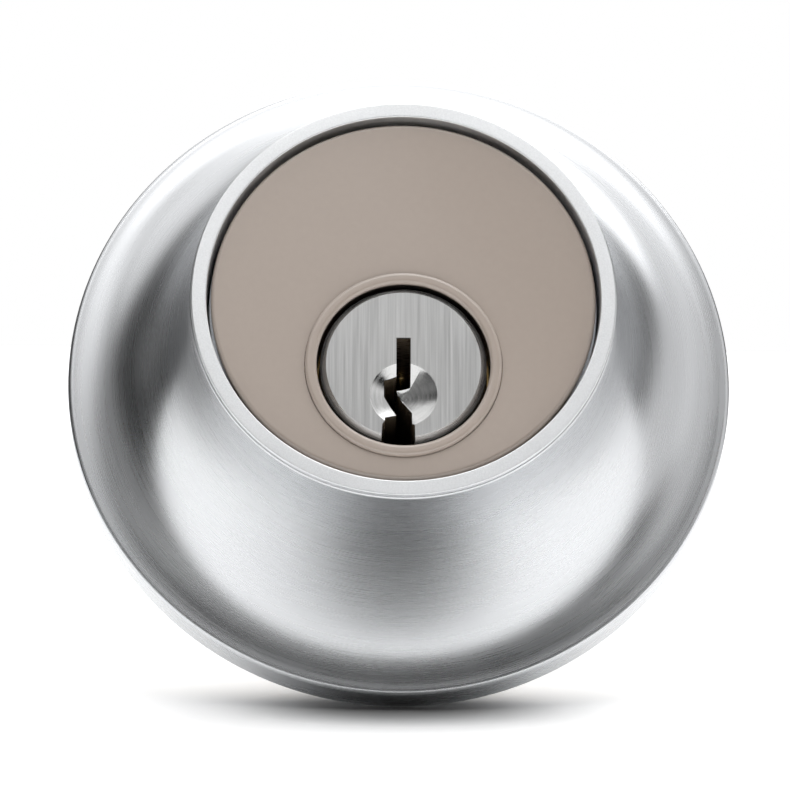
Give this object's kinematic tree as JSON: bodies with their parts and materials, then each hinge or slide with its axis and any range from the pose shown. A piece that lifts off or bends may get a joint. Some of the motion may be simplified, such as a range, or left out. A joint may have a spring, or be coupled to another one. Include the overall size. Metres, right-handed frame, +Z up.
{
  "type": "deadbolt door lock",
  "caption": "Round flared exterior deadbolt trim with a keyed pin tumbler cylinder, lost-motion tailpiece and centring plate for a door's cross bore.",
  "frame": {"origin": "centre of the door's cross bore on the door's outer face, where the trim's rim rests", "axes": "+Y into the door along the cross bore, the keyed face looks along -Y, +Z up, +X to the right of a person facing the lock"},
  "size_m": [0.0636, 0.0693, 0.0636],
  "materials": {
    "satin_steel": "turned and brushed satin",
    "blasted_steel": "fine bead-blasted",
    "taupe_lacquer": "glossy taupe lacquer",
    "plug_nickel": "satin nickel, straight vertical grain",
    "brass": "machined",
    "zinc_steel": "zinc plated",
    "hardened_steel": "oil-blacked hardened",
    "spring_steel": "drawn wire",
    "black_foam": "closed-cell foam"
  },
  "bodies": {
    "root": {"trim_housing": "satin_steel", "bezel_ring": "blasted_steel", "face_disc": "taupe_lacquer", "face_backing": "zinc_steel", "cylinder_collar": "taupe_lacquer", "cylinder_body": "brass", "chamber_cover": "brass", "guard_sleeve": "hardened_steel", "centring_plate": "zinc_steel", "door_gasket": "black_foam", "trim_screw_1": "zinc_steel", "trim_screw_2": "zinc_steel", "trim_screw_3": "zinc_steel", "drill_pin_left": "hardened_steel", "drill_pin_right": "hardened_steel", "pin_spring_1": "spring_steel", "pin_spring_2": "spring_steel", "pin_spring_3": "spring_steel", "pin_spring_4": "spring_steel", "pin_spring_5": "spring_steel"},
    "plug_turning": {"plug": "plug_nickel", "tailpiece_cap": "brass"},
    "tail": {"tailpiece": "zinc_steel"},
    "key_pin_1_body": {"key_pin_1": "brass"},
    "key_pin_2_body": {"key_pin_2": "brass"},
    "key_pin_3_body": {"key_pin_3": "brass"},
    "key_pin_4_body": {"key_pin_4": "brass"},
    "key_pin_5_body": {"key_pin_5": "brass"},
    "driver_pin_1_body": {"driver_pin_1": "plug_nickel"},
    "driver_pin_2_body": {"driver_pin_2": "plug_nickel"},
    "driver_pin_3_body": {"driver_pin_3": "plug_nickel"},
    "driver_pin_4_body": {"driver_pin_4": "plug_nickel"},
    "driver_pin_5_body": {"driver_pin_5": "plug_nickel"}
  },
  "joints": [
    {"name": "plug_turn", "type": "hinge", "parent": "root", "child": "plug_turning", "pos_m": [0, 0, -0.0065], "axis": [0, 1, 0], "range_deg": [-90, 90]},
    {"name": "tailpiece_lost_motion", "type": "hinge", "parent": "plug_turning", "child": "tail", "pos_m": [0, 0, -0.0065], "axis": [0, 1, 0], "range_deg": [-45, 45]},
    {"name": "key_pin_1_drop", "type": "slide", "parent": "plug_turning", "child": "key_pin_1_body", "axis": [0, 0, -1], "range_m": [0, 0.00248]},
    {"name": "key_pin_2_drop", "type": "slide", "parent": "plug_turning", "child": "key_pin_2_body", "axis": [0, 0, -1], "range_m": [0, 0.00128]},
    {"name": "key_pin_3_drop", "type": "slide", "parent": "plug_turning", "child": "key_pin_3_body", "axis": [0, 0, -1], "range_m": [0, 0.00308]},
    {"name": "key_pin_4_drop", "type": "slide", "parent": "plug_turning", "child": "key_pin_4_body", "axis": [0, 0, -1], "range_m": [0, 0.00188]},
    {"name": "key_pin_5_drop", "type": "slide", "parent": "plug_turning", "child": "key_pin_5_body", "axis": [0, 0, -1], "range_m": [0, 0.00078]},
    {"name": "driver_pin_1_lift", "type": "slide", "parent": "root", "child": "driver_pin_1_body", "axis": [0, 0, 1], "range_m": [0, 0.0034], "stiffness_N_per_m": 30, "springref_m": -0.004, "deforming": ["pin_spring_1"]},
    {"name": "driver_pin_2_lift", "type": "slide", "parent": "root", "child": "driver_pin_2_body", "axis": [0, 0, 1], "range_m": [0, 0.0034], "stiffness_N_per_m": 30, "springref_m": -0.004, "deforming": ["pin_spring_2"]},
    {"name": "driver_pin_3_lift", "type": "slide", "parent": "root", "child": "driver_pin_3_body", "axis": [0, 0, 1], "range_m": [0, 0.0034], "stiffness_N_per_m": 30, "springref_m": -0.004, "deforming": ["pin_spring_3"]},
    {"name": "driver_pin_4_lift", "type": "slide", "parent": "root", "child": "driver_pin_4_body", "axis": [0, 0, 1], "range_m": [0, 0.0034], "stiffness_N_per_m": 30, "springref_m": -0.004, "deforming": ["pin_spring_4"]},
    {"name": "driver_pin_5_lift", "type": "slide", "parent": "root", "child": "driver_pin_5_body", "axis": [0, 0, 1], "range_m": [0, 0.0034], "stiffness_N_per_m": 30, "springref_m": -0.004, "deforming": ["pin_spring_5"]}
  ]
}
